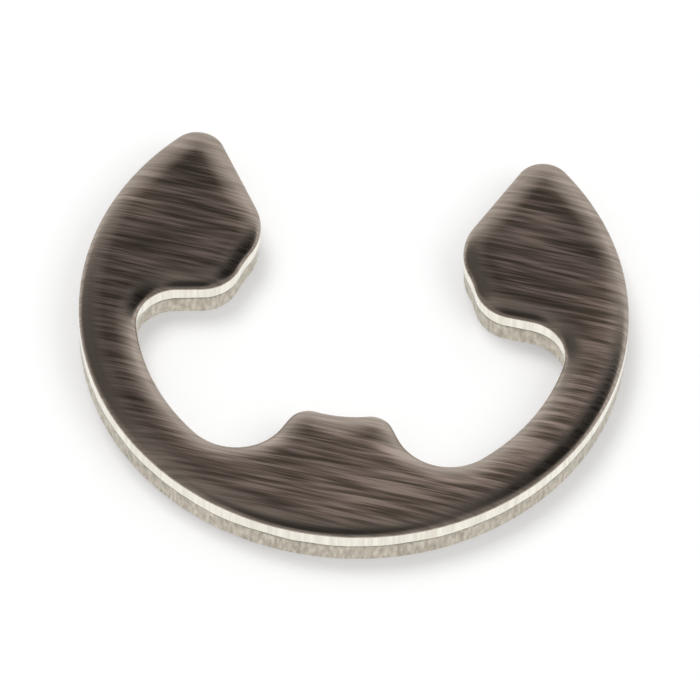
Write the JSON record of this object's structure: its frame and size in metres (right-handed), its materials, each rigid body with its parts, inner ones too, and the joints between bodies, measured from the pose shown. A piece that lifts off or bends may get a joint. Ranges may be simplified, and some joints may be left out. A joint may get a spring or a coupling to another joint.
{
  "type": "e clip",
  "caption": "Flat E-shaped retaining ring of spring steel: end lobes and a centre prong grip a shaft's groove, and the ring stands out as a shoulder.",
  "frame": {"origin": "centre of the circle on which the lobes and the prong bear, which is the shaft's centre, on the lower face", "axes": "+Z along the shaft, from the torn-edged lower face to the rolled-edged upper face; +Y out of the mouth; +X towards the right arm"},
  "size_m": [0.007, 0.0061, 0.0006],
  "materials": {
    "spring_steel": "tempered, with fine grinding streaks"
  },
  "bodies": {
    "root": {"e_clip": "spring_steel"}
  },
  "joints": []
}
